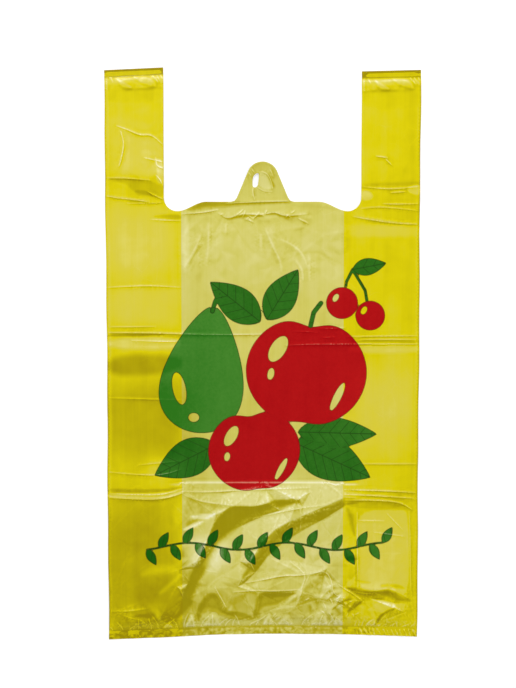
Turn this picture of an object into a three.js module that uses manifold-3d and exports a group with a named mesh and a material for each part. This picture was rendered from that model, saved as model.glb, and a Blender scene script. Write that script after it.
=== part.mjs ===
// Thin-film carrier bag of the vest type, empty and lying flat with its printed side up.
// One tube of film, folded in at both sides (the gussets), welded shut along the bottom and at the tops of
// the two loop handles, with the mouth and a hanging tab die-cut through all the layers.
// Millimetres, +Z up. The origin is under the middle of the bag, on the surface that it lies on.
// +Y points to the handles and +X to the right, as the printed side is read.
import * as THREE from "three";
import { mergeVertices } from "three/addons/utils/BufferGeometryUtils.js";
import Module from "manifold-3d";

// Film and overall size
const BAG_WIDTH = 300; // between the side folds
const BAG_LENGTH = 545; // from the bottom edge to the tops of the handles
const FILM = 0.25; // one layer, thicker than real film so that it holds as a solid
const LAYER_GAP = 0.3; // air between two layers that lie on each other
const GUSSET_DEPTH = 72.5; // how far each side is folded in
const GUSSET_DROP = 8; // run over which the front sheet steps down beside a gusset's inner fold

// Welds
const BOTTOM_SEAL = 7.5; // fused strip along the bottom edge
const HANDLE_SEAL = 6; // fused strip across the top of each handle

// Die-cut mouth and handles
const HANDLE_WIDTH = 56;
const MOUTH_DEPTH = 133; // from the tops of the handles to the lowest point of the mouth
const MOUTH_CORNER_RADIUS = 13; // where a handle's inner edge turns into the mouth
const LIP_RISE = 9; // the lip stands this much above the mouth's two low corners
const LIP_RUN = 27; // length of the slope from a low corner up to the lip

// Hanging tab in the middle of the lip
const TAB_HEIGHT = 38;
const TAB_BASE = 52;
const TAB_TOP_RADIUS = 15;
const TAB_FOOT_FILLET = 4;

// Arched slit in the tab, opened on one side where its tongue is pushed aside
const SLIT_RADIUS = 10.5; // outer edge of the arch
const SLIT_LEG = 9; // straight part of the arch below its round top
const SLIT_BELOW_TOP = 10; // from the tab's top to the top of the arch
const SLIT_WIDTH = 1; // where the tongue still lies in its place
const SLIT_OPENING = 6.5; // where the tongue is pushed aside

// Form of the front sheet: how it stands off the layers under it
const LOFT = 0.8; // even puff of the front sheet
const EDGE_FADE = 12; // distance over which the front sheet comes down to a side fold or weld
const GATHER_HEIGHT = 2.4; // puckers along the bottom weld
const GATHER_PITCH = 27;
const GATHER_REACH = 18; // how far the puckers run up from the weld
const FRONT_COLUMNS = 34; // facets across and along the front sheet
const FRONT_ROWS = 52;

// Creases of the front sheet. Points are shares of the half width and half length, so that the folds keep
// their places on the sheet. height is a share of CREASE_HEIGHT, positive for a ridge and negative for a
// valley, and reach, a share of CREASE_REACH, is how far its flanks run.
const CREASE_HEIGHT = 2;
const CREASE_REACH = 8;
const CREASES = [
  // folds from packing, right across
  { height: 1, reach: 0.75, points: [[-1, 0.551], [1, 0.463]] },
  { height: 1.3, reach: 0.75, points: [[-1, 0.072], [1, 0.023]] },
  { height: 1.2, reach: 0.875, points: [[-1, -0.486], [-0.5, -0.462], [1, -0.484]] },
  { height: 0.6, reach: 0.75, points: [[-1, -0.41], [-0.5, -0.438]] },
  { height: 0.65, reach: 0.75, points: [[0.55, -0.379], [1, -0.377]] },
  // long folds that run down to the bottom weld
  { height: -1, reach: 1, points: [[0.22, -0.527], [-0.233, -0.545], [-0.527, -0.93]] },
  { height: 1.8, reach: 1.375, points: [[-0.12, -0.55], [-0.45, -0.91]] },
  { height: 1.9, reach: 1.25, points: [[0.527, -0.492], [-0.029, -0.657], [-0.157, -0.815]] },
  { height: 1.4, reach: 1.125, points: [[-0.157, -0.805], [0.252, -0.755], [0.316, -0.95]] },
  { height: 1.3, reach: 1.125, points: [[0.24, -0.57], [0.444, -0.727], [0.46, -0.83]] },
  { height: 1.2, reach: 1, points: [[0.46, -0.81], [0.62, -0.85], [0.99, -0.885]] },
  { height: 1, reach: 1.125, points: [[-0.96, -0.833], [-0.54, -0.727]] },
  // soft wrinkles under the mouth
  { height: 0.9, reach: 0.625, points: [[-0.5, 0.505], [0.03, 0.478], [0.5, 0.49]] },
  { height: 0.6, reach: 0.625, points: [[0.035, 0.45], [0.125, 0.32]] },
  { height: 0.6, reach: 0.625, points: [[0.15, 0.45], [0.3, 0.294]] },
  // handles
  { height: 0.75, reach: 0.75, points: [[-0.92, 0.787], [-0.63, 0.7]] },
  { height: 0.9, reach: 0.75, points: [[-1, 0.61], [-0.63, 0.569]] },
  { height: 0.8, reach: 0.75, points: [[0.63, 0.586], [1, 0.593]] },
  { height: 0.7, reach: 0.5, points: [[-1, 0.928], [-0.63, 0.934]] },
  { height: 0.7, reach: 0.5, points: [[0.63, 0.922], [1, 0.926]] },
];

// Values that follow from the driving dimensions
const HALF_WIDTH = BAG_WIDTH / 2;
const HALF_LENGTH = BAG_LENGTH / 2;
const LAYER_PITCH = FILM + LAYER_GAP;
const GUSSET_FOLD = HALF_WIDTH - GUSSET_DEPTH; // distance of a gusset's inner fold from the centre line
const SEAL_LINE = -HALF_LENGTH + BOTTOM_SEAL;
const HANDLE_SEAL_LINE = HALF_LENGTH - HANDLE_SEAL;
const HANDLE_EDGE = HALF_WIDTH - HANDLE_WIDTH; // distance of a handle's inner edge from the centre line
const MOUTH_BOTTOM = HALF_LENGTH - MOUTH_DEPTH;
const LIP = MOUTH_BOTTOM + LIP_RISE;
const TAB_TOP = LIP + TAB_HEIGHT;
const CUT_MARGIN = 20; // how far a cutter passes through the faces it opens
const CURVE_STEPS = 8;

const wasm = await Module();
wasm.setup();

// A closed geometry as a solid for joins and cuts
function solidOf(geometry) {
  const bare = geometry.clone();
  bare.deleteAttribute("normal");
  bare.deleteAttribute("uv");
  const merged = mergeVertices(bare, 1e-4);
  return new wasm.Manifold(
    new wasm.Mesh({
      numProp: 3,
      vertProperties: merged.attributes.position.array,
      triVerts: new Uint32Array(merged.index.array),
    }),
  );
}

// A solid back as a geometry
function geometryOf(solid) {
  const mesh = solid.getMesh();
  const geometry = new THREE.BufferGeometry();
  geometry.setAttribute("position", new THREE.BufferAttribute(mesh.vertProperties, 3));
  geometry.setIndex(new THREE.BufferAttribute(mesh.triVerts, 1));
  geometry.computeVertexNormals();
  return geometry;
}

// A plain block between two opposite corners
function block(a, b) {
  const size = a.map((value, i) => Math.abs(b[i] - value));
  const middle = a.map((value, i) => (value + b[i]) / 2);
  return solidOf(new THREE.BoxGeometry(...size).translate(...middle));
}

// Places from low to high in even steps, with one more line outside each end
function gridLines(outerLow, low, high, outerHigh, steps) {
  const inner = Array.from({ length: steps + 1 }, (_, i) => low + ((high - low) * i) / steps);
  return [outerLow, ...inner, outerHigh];
}

// A block whose top follows the front sheet on a grid, drop below the sheet's upper face. It is made too
// deep and then cut flat at floor, so that its underside is one plain face.
function underFrontSheet(xLines, yLines, floor, drop) {
  const columns = xLines.length - 1;
  const rows = yLines.length - 1;
  const geometry = new THREE.BoxGeometry(columns, rows, 1, columns, rows, 1);
  const place = geometry.attributes.position;
  for (let i = 0; i < place.count; i++) {
    const x = xLines[Math.round(place.getX(i) + columns / 2)];
    const y = yLines[Math.round(place.getY(i) + rows / 2)];
    const z = place.getZ(i) > 0 ? frontSheet(x, y) - drop : floor - CUT_MARGIN;
    place.setXYZ(i, x, y, z);
  }
  const below = block([-BAG_WIDTH, -BAG_LENGTH, floor - 2 * CUT_MARGIN], [BAG_WIDTH, BAG_LENGTH, floor]);
  return solidOf(geometry).subtract(below);
}

// A shape cut straight through every layer
function cutter(shape) {
  const depth = 2 * CUT_MARGIN;
  const geometry = new THREE.ExtrudeGeometry(shape, {
    depth,
    bevelEnabled: false,
    curveSegments: CURVE_STEPS,
  });
  return solidOf(geometry.translate(0, 0, -CUT_MARGIN));
}

// Distance from a point to a crease's line
function distanceTo(points, x, y) {
  let nearest = Infinity;
  for (let i = 1; i < points.length; i++) {
    const [ax, ay] = points[i - 1];
    const [bx, by] = points[i];
    const [dx, dy] = [(bx - ax) * HALF_WIDTH, (by - ay) * HALF_LENGTH];
    const [px, py] = [x - ax * HALF_WIDTH, y - ay * HALF_LENGTH];
    const along = THREE.MathUtils.clamp((px * dx + py * dy) / (dx * dx + dy * dy), 0, 1);
    nearest = Math.min(nearest, Math.hypot(px - along * dx, py - along * dy));
  }
  return nearest;
}

// Height of one crease at a distance from its line
function creaseHeight(height, reach, distance) {
  return height * CREASE_HEIGHT * Math.exp(-distance / (reach * CREASE_REACH));
}

// How far the front sheet stands off where it would lie flat
function relief(x, y) {
  const sides = THREE.MathUtils.smoothstep(HALF_WIDTH - Math.abs(x), 0, EDGE_FADE);
  const ends = Math.min(
    THREE.MathUtils.smoothstep(y - SEAL_LINE, 0, EDGE_FADE),
    THREE.MathUtils.smoothstep(HANDLE_SEAL_LINE - y, 0, EDGE_FADE),
  );
  const creased = CREASES.reduce(
    (sum, { height, reach, points }) => sum + creaseHeight(height, reach, distanceTo(points, x, y)),
    LOFT,
  );
  const pucker = 0.5 + 0.5 * Math.cos((2 * Math.PI * x) / GATHER_PITCH);
  const gathers = GATHER_HEIGHT * pucker * Math.exp(-Math.abs(y - SEAL_LINE - EDGE_FADE) / GATHER_REACH);
  return sides * ends * (Math.max(creased, 0) + gathers);
}

// Height of the front sheet's upper face: on four layers at the sides and on two in the middle
function frontSheet(x, y) {
  const besideGusset = THREE.MathUtils.smoothstep(Math.abs(x), GUSSET_FOLD - GUSSET_DROP, GUSSET_FOLD);
  const layersBelow = THREE.MathUtils.lerp(1, 3, besideGusset);
  return layersBelow * LAYER_PITCH + FILM + relief(x, y);
}

// The tube of film: welded at the bottom and at the handles' tops, and folded in at both sides
function filmTube() {
  const wall = HALF_WIDTH - FILM;
  const xLines = gridLines(-HALF_WIDTH, -wall, wall, HALF_WIDTH, FRONT_COLUMNS);
  const yLines = gridLines(-HALF_LENGTH, SEAL_LINE, HANDLE_SEAL_LINE, HALF_LENGTH, FRONT_ROWS);
  const outside = underFrontSheet(xLines, yLines, 0, 0);
  const inside = underFrontSheet(xLines.slice(1, -1), yLines.slice(1, -1), FILM, FILM);
  let tube = outside.subtract(inside);
  for (const side of [-1, 1]) {
    const gussetOuter = [side * (HALF_WIDTH - FILM / 2), SEAL_LINE - FILM, LAYER_PITCH];
    const gussetInner = [side * GUSSET_FOLD, HANDLE_SEAL_LINE + FILM, 2 * LAYER_PITCH + FILM];
    const pocketOuter = [side * (HALF_WIDTH + CUT_MARGIN), SEAL_LINE, LAYER_PITCH + FILM];
    const pocketInner = [side * (GUSSET_FOLD + FILM), HANDLE_SEAL_LINE, 2 * LAYER_PITCH];
    tube = tube.add(block(gussetOuter, gussetInner)).subtract(block(pocketOuter, pocketInner));
  }
  return tube;
}

// Outline of what is cut away between the handles, around the tab
function mouthShape() {
  const top = HALF_LENGTH + CUT_MARGIN;
  const foot = TAB_BASE / 2;
  const lowCorner = HANDLE_EDGE - MOUTH_CORNER_RADIUS;
  const cornerY = MOUTH_BOTTOM + MOUTH_CORNER_RADIUS;
  const lipEnd = lowCorner - LIP_RUN;
  const crown = TAB_TOP - TAB_TOP_RADIUS; // height of the round top's centre
  const footDistance = Math.hypot(foot, crown - LIP);
  const tangent = Math.PI + Math.atan2(crown - LIP, foot) - Math.acos(TAB_TOP_RADIUS / footDistance);
  const sideX = TAB_TOP_RADIUS * Math.cos(tangent);
  const sideY = crown + TAB_TOP_RADIUS * Math.sin(tangent);
  const sideLength = Math.hypot(sideX + foot, sideY - LIP);
  const filletX = foot - (TAB_FOOT_FILLET * (sideX + foot)) / sideLength;
  const filletY = LIP + (TAB_FOOT_FILLET * (sideY - LIP)) / sideLength;

  const shape = new THREE.Shape();
  shape.moveTo(-HANDLE_EDGE, top);
  shape.lineTo(-HANDLE_EDGE, cornerY);
  shape.absarc(-lowCorner, cornerY, MOUTH_CORNER_RADIUS, Math.PI, 1.5 * Math.PI, false);
  shape.bezierCurveTo(-lowCorner + LIP_RUN / 2, MOUTH_BOTTOM, -lipEnd - LIP_RUN / 2, LIP, -lipEnd, LIP);
  shape.lineTo(-foot - TAB_FOOT_FILLET, LIP);
  shape.quadraticCurveTo(-foot, LIP, -filletX, filletY);
  shape.absarc(0, crown, TAB_TOP_RADIUS, tangent, Math.PI - tangent, true);
  shape.lineTo(filletX, filletY);
  shape.quadraticCurveTo(foot, LIP, foot + TAB_FOOT_FILLET, LIP);
  shape.lineTo(lipEnd, LIP);
  shape.bezierCurveTo(lipEnd + LIP_RUN / 2, LIP, lowCorner - LIP_RUN / 2, MOUTH_BOTTOM, lowCorner, MOUTH_BOTTOM);
  shape.absarc(lowCorner, cornerY, MOUTH_CORNER_RADIUS, 1.5 * Math.PI, 2 * Math.PI, false);
  shape.lineTo(HANDLE_EDGE, top);
  return shape;
}

// Outline of the tab's slit: between the arch and the edge of the tongue, which is pushed to one side
function slitShape() {
  const archY = TAB_TOP - SLIT_BELOW_TOP - SLIT_RADIUS;
  const legEnd = archY - SLIT_LEG;
  const tongueRight = SLIT_RADIUS - SLIT_WIDTH;
  const tongueLeft = -SLIT_RADIUS + SLIT_OPENING;
  const shape = new THREE.Shape();
  shape.moveTo(-SLIT_RADIUS, legEnd);
  shape.lineTo(-SLIT_RADIUS, archY);
  shape.absarc(0, archY, SLIT_RADIUS, Math.PI, 0, true);
  shape.lineTo(SLIT_RADIUS, legEnd);
  shape.lineTo(tongueRight, legEnd);
  shape.lineTo(tongueRight, archY);
  shape.absellipse(
    (tongueLeft + tongueRight) / 2, archY,
    (tongueRight - tongueLeft) / 2, SLIT_RADIUS - SLIT_WIDTH,
    0, Math.PI, false, 0,
  );
  shape.lineTo(-SLIT_RADIUS + SLIT_WIDTH, legEnd);
  return shape;
}

const bag = filmTube().subtract(cutter(mouthShape())).subtract(cutter(slitShape()));
const film = new THREE.MeshStandardMaterial({ color: 0xdccb14, roughness: 0.35, metalness: 0 });
const carrierBag = new THREE.Mesh(geometryOf(bag), film);
carrierBag.name = "carrier_bag";

const part = new THREE.Group();
part.add(carrierBag);
export default part;
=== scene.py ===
# Film carrier bag of the vest type, lying flat and empty with its printed side up.
# Lengths below are millimetres in the part's own frame, and become metres when the mesh is made.
import math

import bpy
import numpy as np
from mathutils import Matrix, Vector, geometry, kdtree, noise


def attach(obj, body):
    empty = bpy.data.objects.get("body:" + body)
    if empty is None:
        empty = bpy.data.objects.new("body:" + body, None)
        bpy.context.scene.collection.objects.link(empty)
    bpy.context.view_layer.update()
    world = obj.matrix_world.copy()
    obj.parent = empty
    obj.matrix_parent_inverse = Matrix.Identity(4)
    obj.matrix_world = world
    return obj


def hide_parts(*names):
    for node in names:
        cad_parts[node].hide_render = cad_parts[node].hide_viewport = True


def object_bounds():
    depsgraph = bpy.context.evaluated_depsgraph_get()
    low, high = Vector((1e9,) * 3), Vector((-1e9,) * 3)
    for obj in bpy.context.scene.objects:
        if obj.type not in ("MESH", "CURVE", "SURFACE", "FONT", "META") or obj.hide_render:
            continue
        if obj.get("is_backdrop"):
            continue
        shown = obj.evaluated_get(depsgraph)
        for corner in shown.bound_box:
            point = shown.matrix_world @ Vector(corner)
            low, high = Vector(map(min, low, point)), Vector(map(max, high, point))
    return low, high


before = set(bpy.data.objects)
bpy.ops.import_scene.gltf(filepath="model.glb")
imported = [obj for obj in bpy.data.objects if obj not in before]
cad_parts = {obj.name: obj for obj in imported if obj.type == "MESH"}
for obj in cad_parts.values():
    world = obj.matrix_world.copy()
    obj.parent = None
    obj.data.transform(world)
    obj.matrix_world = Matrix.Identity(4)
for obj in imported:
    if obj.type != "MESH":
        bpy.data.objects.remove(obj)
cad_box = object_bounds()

# Sizes shared with the part's source
HALF_WIDTH = 150.0
HALF_LENGTH = 272.5
GUSSET_FOLD = 77.5
SEAL = -265.0
TOP_SEAL = 266.5
HANDLE_EDGE = 94.0
MOUTH_BOTTOM = 139.5
MOUTH_CORNER = 13.0
LIP = 148.5
LIP_RUN = 27.0
TAB_TOP = 186.5
TAB_BASE = 26.0
TAB_RADIUS = 15.0
TAB_FILLET = 4.0

# Heights of the layers where they lie flat on each other
BACK = 0.12
GUSSET_BACK = 0.36
GUSSET_FRONT = 0.60
FRONT = 0.84

# Spacing of the mesh: fine where the film is crinkled
WELD = 0.85
FINE = 1.25
MEDIUM = 2.0
COARSE = 8.0
ROW_STEP = 1.4
ROW_CELL = 0.6  # one point of the extra rows in each cell
EMPTY = 9.0  # distance that stands for no ink
LOWEST = 0.02  # of all the film above the floor
MILLIMETRE = 1e-3


# Small helpers on arrays

def ease(low, high, value):
    """Smooth step from 0 at low to 1 at high."""
    t = np.clip((value - low) / (high - low), 0.0, 1.0)
    return t * t * (3.0 - 2.0 * t)


def bell(value, middle, width):
    return np.exp(-((value - middle) / width) ** 2)


def line_distance(points, x, y):
    """Distance to a line, share of the way along it, and whether the place is on its left."""
    best = np.full(x.shape, 1e9)
    share = np.zeros(x.shape)
    on_left = np.zeros(x.shape, dtype=bool)
    count = len(points) - 1
    for i in range(count):
        (ax, ay), (bx, by) = points[i], points[i + 1]
        dx, dy = bx - ax, by - ay
        t = np.clip(((x - ax) * dx + (y - ay) * dy) / (dx * dx + dy * dy), 0.0, 1.0)
        d = np.hypot(x - ax - t * dx, y - ay - t * dy)
        nearer = d < best
        best = np.where(nearer, d, best)
        share = np.where(nearer, (i + t) / count, share)
        on_left = np.where(nearer, dx * (y - ay) > dy * (x - ax), on_left)
    return best, share, on_left


def signed_distance(loop, x, y):
    """Distance to a closed outline, negative inside."""
    d = line_distance(list(loop) + [loop[0]], x, y)[0]
    inside = np.zeros(x.shape, dtype=bool)
    for (ax, ay), (bx, by) in zip(loop, list(loop[1:]) + [loop[0]]):
        if ay != by:
            inside ^= ((ay > y) != (by > y)) & (x < (bx - ax) * (y - ay) / (by - ay) + ax)
    return np.where(inside, -d, d)


def close_by(points, x, y, margin):
    """Which places lie within a margin of the box around the points."""
    (left, low), (right, high) = np.min(points, axis=0), np.max(points, axis=0)
    return (x > left - margin) & (x < right + margin) & (y > low - margin) & (y < high + margin)


def softened(points, closed, rounds=2):
    """A line, or a closed outline, with its corners cut round."""
    for _ in range(rounds):
        after = points[1:] + points[:1] if closed else points[1:]
        cut = []
        for (ax, ay), (bx, by) in zip(points, after):
            cut += [(ax + t * (bx - ax), ay + t * (by - ay)) for t in (0.25, 0.75)]
        points = cut if closed else [points[0]] + cut[1:-1] + [points[-1]]
    return points


def grain(x, y, size, seed, detail=2):
    """Smooth noise from -1 to 1 with features of about the given size."""
    places = [Vector((a / size, b / size, seed)) for a, b in zip(x, y)]
    return np.array([noise.fractal(place, 1.0, 2.0, detail) for place in places])


def pairs(values):
    """Points from a flat list with x and y in turn."""
    return list(zip(values[::2], values[1::2]))


# Outlines

def arc(cx, cy, radius, start, end, steps=16):
    angles = np.radians(np.linspace(start, end, steps + 1))
    return [(cx + radius * math.cos(a), cy + radius * math.sin(a)) for a in angles]


def slope(a, b, steps=10):
    """S-shaped run between two level stretches."""
    shares = np.linspace(0.0, 1.0, steps + 1)
    return [(a[0] + t * (b[0] - a[0]), a[1] + t * t * (3 - 2 * t) * (b[1] - a[1])) for t in shares]


def mouth_half():
    """Right half of the mouth's edge, from the top of the tab to the top of the handle."""
    crown = TAB_TOP - TAB_RADIUS
    rise = math.atan2(crown - LIP, TAB_BASE)
    end = math.degrees(math.acos(TAB_RADIUS / math.hypot(TAB_BASE, crown - LIP)) - rise)
    side = arc(0, crown, TAB_RADIUS, 90, end, 14)
    low = HANDLE_EDGE - MOUTH_CORNER
    run = np.hypot(TAB_BASE - side[-1][0], side[-1][1] - LIP)
    foot_x = TAB_BASE - TAB_FILLET * (TAB_BASE - side[-1][0]) / run
    foot_y = LIP + TAB_FILLET * (side[-1][1] - LIP) / run
    foot = [(foot_x, foot_y), (TAB_BASE + 0.6, LIP + 0.9), (TAB_BASE + TAB_FILLET, LIP)]
    corner = arc(low, MOUTH_BOTTOM + MOUTH_CORNER, MOUTH_CORNER, 270, 360, 10)
    lip = slope((low - LIP_RUN, LIP), (low, MOUTH_BOTTOM))
    return side + foot + lip + corner[1:] + [(HANDLE_EDGE, HALF_LENGTH)]


def dense(loop, step):
    """A closed outline with points at most a step apart."""
    points = []
    for (ax, ay), (bx, by) in zip(loop, list(loop[1:]) + [loop[0]]):
        count = max(1, math.ceil(math.hypot(bx - ax, by - ay) / step))
        points += [(ax + (bx - ax) * i / count, ay + (by - ay) * i / count) for i in range(count)]
    return points


def bag_outline():
    right = mouth_half()
    left = [(-x, y) for x, y in right[1:]]
    base = [(-HALF_WIDTH, -HALF_LENGTH), (HALF_WIDTH, -HALF_LENGTH), (HALF_WIDTH, HALF_LENGTH)]
    return base + right[::-1] + left + [(-HALF_WIDTH, HALF_LENGTH)]


def gusset_outline(side):
    cut = [p for p in mouth_half() if p[0] >= GUSSET_FOLD]
    loop = [(GUSSET_FOLD, -HALF_LENGTH), (HALF_WIDTH, -HALF_LENGTH), (HALF_WIDTH, HALF_LENGTH)]
    loop += cut[::-1] + [(GUSSET_FOLD, cut[0][1] + 0.5)]
    return [(side * x, y) for x, y in loop][::side]


# Open part of the arch cut in the tab, whose tongue is pushed to the right, as x and y in turn
SLIT = [
    -6.8,161.8, -9.2,162.6, -9.6,165.5, -9.4,169.5, -8.9,172.2, -6.8,174.8, -4.6,175.8,
    -3.5,174.6, -3.6,171.0, -4.0,167.0, -4.6,163.6,
]


# Form of the front sheet

FOLD_SCALE = 0.42
SCATTER = 23.0
LOWEST_FOLD = -126
CALM_ROUNDS = 80

# Points that the lower part of the front sheet is folded over: x, y and height
FOLD_POINTS = [
    # along the lowest packing fold
    (-150, -123, 0.3), (-120, -124, 0.8), (-77, -121, 0.6), (0, -122, 0.6), (60, -121, 0.8),
    (150, -122, 0.3), (-149, -135, 0.5), (-117, -136, 1.5), (-93, -135, 1.7), (-77, -129, 1.4),
    (-39, -133, 1.0), (4, -129, 1.2), (46, -130, 2.2), (79, -135, 3.2), (113, -138, 1.9),
    (142, -143, 0.9),
    # upper dark fold and the hollow below it
    (-28, -144, 4.6), (-7, -143.7, 4.7), (5, -141, 4.8), (33, -138, 5.2), (39, -143, 3.6),
    (18, -148, 2.2), (-1, -154, 1.5), (-20, -163, 1.2), (-38, -170, 1.0), (80, -143, 1.9),
    (113, -148, 1.2), (140, -152, 0.8),
    # long fold down to the left
    (-45, -152, 3.6), (-53, -175, 4.2), (-64, -198, 4.6), (-79, -225, 4.2), (-98, -250, 2.2),
    (-48, -186, 1.0), (-61, -204, 1.0), (-70, -219, 0.8), (-76, -236, 0.6), (-87, -252, 0.5),
    # fold from the right that ends in a point in the middle
    (50, -148, 5.2), (38, -153, 5.4), (26, -158, 5.6), (12, -166, 5.6), (-1, -179, 5.2), (-12, -198, 4.6),
    (-21, -217, 4.0), (56, -158, 1.6), (36, -169, 1.4), (20, -179, 1.4), (5, -193, 1.3), (-7, -209, 1.4),
    (-18, -220, 1.6), (-22, -198, 2.4), (-39, -212, 2.6), (-55, -226, 2.4),
    # raised band in the middle and the hollow under it
    (-24, -223, 3.6), (36, -210, 3.8), (34, -227, 3.6), (-3, -230, 3.6), (18, -242, 1.7), (6, -249, 1.5),
    (-7, -254, 1.2), (45, -212, 4.2), (38, -229, 4.6), (32, -244, 3.0),
    # ridges on the right
    (70, -179, 2.6), (45, -184, 2.2), (36, -198, 2.0), (62, -205, 3.2), (66, -225, 3.6), (91, -238, 3.6),
    (87, -247, 2.0), (60, -212, 1.9), (55, -236, 1.8), (78, -223, 2.4), (89, -228, 2.8), (108, -228, 2.8),
    (123, -224, 2.6), (142, -236, 1.5), (103, -235, 1.2), (127, -239, 1.0), (98, -237, 1.5),
    (127, -244, 3.0), (112, -259, 0.8), (137, -248, 1.5), (110, -190, 1.4), (138, -190, 0.9),
    (100, -170, 1.5),
    # left side
    (-149, -170, 0.3), (-127, -184, 0.8), (-108, -198, 1.6), (-124, -209, 1.3), (-98, -211, 3.3),
    (-81, -206, 2.6), (-83, -222, 3.0), (-143, -246, 1.0), (-103, -257, 1.4), (-146, -227, 0.5),
    (-117, -236, 0.8),
]
FOLD_POINTS += [(x, -266, 0.2) for x in range(-150, 151, 50)]  # level of the weld

CREASE_SCALE = 0.28
CREASE_WIDTH = 0.55

# Single creases: height, width of the flank on the left and on the right, then x and y of the points in turn
CREASES = [
    # first packing fold, left and right
    (1.1, 2, 1, -149,154, -138,152, -119,150, -107,148),
    (1.2, 1.6, 1, -109,158, -102,154, -95,151),
    (0.8, 1.4, 1, -128,147, -107,147, -96,147.5),
    (0.7, 1.4, 1.2, -107,131.5, -93,131, -78,130.5),
    (1.3, 3, 1, 88,134, 105,131, 126,128, 149,127),
    (0.8, 1.2, 1, 115,146.5, 124,146, 149,146.5),
    (0.7, 1.2, 1, 122,157, 136,158),
    (0.8, 1.4, 1.2, -78,67, -110,69, -149,67),
    # second packing fold
    (1.3, 1.6, 1, -149,23.5, -118,23.5, -96,23, -64,22, -34,21.5, 0,22),
    (0.6, 1.4, 1.2, -149,29, -103,29.5),
    (0.7, 2.2, 1, -126,16, -92,15, -78,15.5),
    (0.7, 1.2, 1, 82,20, 149,20.5),
    (0.6, 1.2, 1, 93,17, 147,17),
    (1.2, 1.6, 1, 24,11.5, 44,12.5, 80,12.5, 111,13, 149,12.5),
    (0.5, 1.6, 1.6, -149,-39, -78,-41),
    (0.7, 1.2, 1, 52,28, 66,27.5, 79,28.5),
    (0.6, 1.2, 1, 30,25, 44,24.5, 53,23.5),
    (0.6, 1.2, 1, 58,19, 70,19.5),
    # third packing fold
    (0.7, 1.4, 1.2, -149,-111, -100,-115, -78,-108),
    (0.5, 1.4, 1.2, -120,-104, -78,-100),
    (0.6, 1.4, 1.2, 92,-103, 149,-103),
    (1.2, 1.4, 2, -149,-132, -108,-133, -93,-132, -77,-127),
    (1, 2.4, 1, -149,-136, -108,-138, -91,-136, -77,-131),
    (0.6, 3, 2, -77,-132, -64,-138, -47,-141, -28,-143),
    (0.8, 1.6, 1.4, -77,-129.5, -55,-130.5, -21,-128.5, 0,-127.5, 46,-126),
    (1, 1.4, 1, 79,-128, 118,-129, 149,-131),
    (1, 1.4, 1.2, 80,-132.5, 113,-134, 147,-136.5),
    (1.2, 1.4, 1.2, 80,-138, 108,-138, 133,-140, 144,-147),
    # right panel under it
    (0.5, 1.2, 1, 92,-158, 118,-158.5),
    (0.5, 1.2, 1, 108,-169.5, 137,-173.5),
    (0.5, 1.2, 1, 120,-151, 135,-167),
    (0.6, 1.4, 1.4, 144,-236, 141.5,-149),
    (0.8, 1.4, 1.4, 91.5,-150, 91.5,-178, 92.5,-226),
    # handles
    (1.3, 1.6, 1.4, -138,220, -127,216, -116,211, -105,212, -94,202),
    (1.3, 1.4, 1.2, -136.5,182, -134.5,188, -131,203, -134.5,215),
    (1.2, 1.2, 1.2, -101.5,190, -100.5,182, -94.5,180),
    (1.4, 1.2, 1.2, -100.5,173, -96.5,168, -94.5,163),
    (0.8, 1.4, 1.2, -112,190, -94.5,186),
    (0.8, 1.4, 1.4, -149,171, -131,171, -107,169),
    (1, 1.2, 0.9, 108,191.5, 119,190),
    (0.9, 1.2, 0.9, 117,189, 123,183),
    (0.8, 1.6, 1.4, 94.5,163, 120,160, 149,163),
    (0.6, 1.4, 1.2, 94.5,142, 112,144, 149,140),
    # ridges of the lower part
    (0.7, 1.2, 1.6, -9,-156, 10,-151, 33,-146, 58,-143),
    (0.8, 1.2, 1.4, -19,-220, -1,-217, 19,-212, 36,-212, 47,-210),
    (0.8, 1.4, 1.2, -27.7,-229, -6.6,-227.5, 10.3,-228.3, 35.7,-226.8),
    (0.7, 1.4, 1.4, 27,-198, 43,-211, 38,-224, 37,-232),
    (1, 1.2, 1.2, 47,-210, 61,-207, 67,-217, 68,-228, 72,-233, 80,-235),
    (0.8, 1.2, 1.2, -46,-224, -39,-237, -35,-245),
    (0.9, 1.2, 1.2, 88.3,-228.3, 97,-230.1, 105.7,-229.8),
    (0.9, 1.2, 1.2, 74,-221, 80,-226, 87,-230, 98,-239),
    (0.5, 3, 2, -147.6,-245.4, -130.5,-245.2, -112,-243.2),
    (0.5, 2, 2, -141,-247, -129,-252, -118,-254, -109,-263),
    # closed part of the cut in the tab, its tongue, and the film around it
    (0.7, 1.2, 1.2, -2.5,176.2, 0.1,176.8, 4.6,174.8, 7.3,170.3, 8.8,165.7, 9.5,161),
    (0.5, 1.2, 1.2, -5.5,163, -2.2,160.4, 2.4,158.1, 9,158.3),
    (0.8, 1.2, 1.2, -8.6,161.9, -9.3,160, -8.9,155.1, -7.5,150.9),
    (0.6, 1.2, 1.2, -14,176.7, -12,174.7, -10.6,172.6),
    (0.5, 1.2, 1.2, -10.6,179.7, -8,176.2),
    (0.5, 1.2, 1.2, 7.3,179.3, 10,172.5),
    # mouth
    (1, 1.4, 1, -35,147, 0,148.5, 25,149),
    (0.8, 1.8, 1, -76,137, -59,138, -49,139.5, -42,141),
    (0.6, 1.6, 1.2, -42,138, -34,132, -22,137, -14,137, 0,136, 12,139, 20,135, 34,136, 43,137),
    (0.7, 1.4, 1.4, 34.5,132.8, 42.3,128.3),
    (0.5, 5, 5, -51.7,127.2, -51.2,110.6, -53.7,88.3),
    (0.4, 4, 4, -34.5,128.3, -35.6,118.3),
    (0.35, 4, 4, -1.7,118.3, -1.3,101.7),
    (0.4, 4, 4, 44.6,95, 44.8,72.7),
    (0.6, 8, 3, 3,123, 9,108, 17,93, 18,83),
    (0.6, 3, 8, 17,113, 28,108, 38,100, 44,84),
    (0.5, 4, 4, 32,93, 38,84, 39,73),
    (0.6, 6, 4, -75,86, -65,102, -59,117),
]

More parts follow.
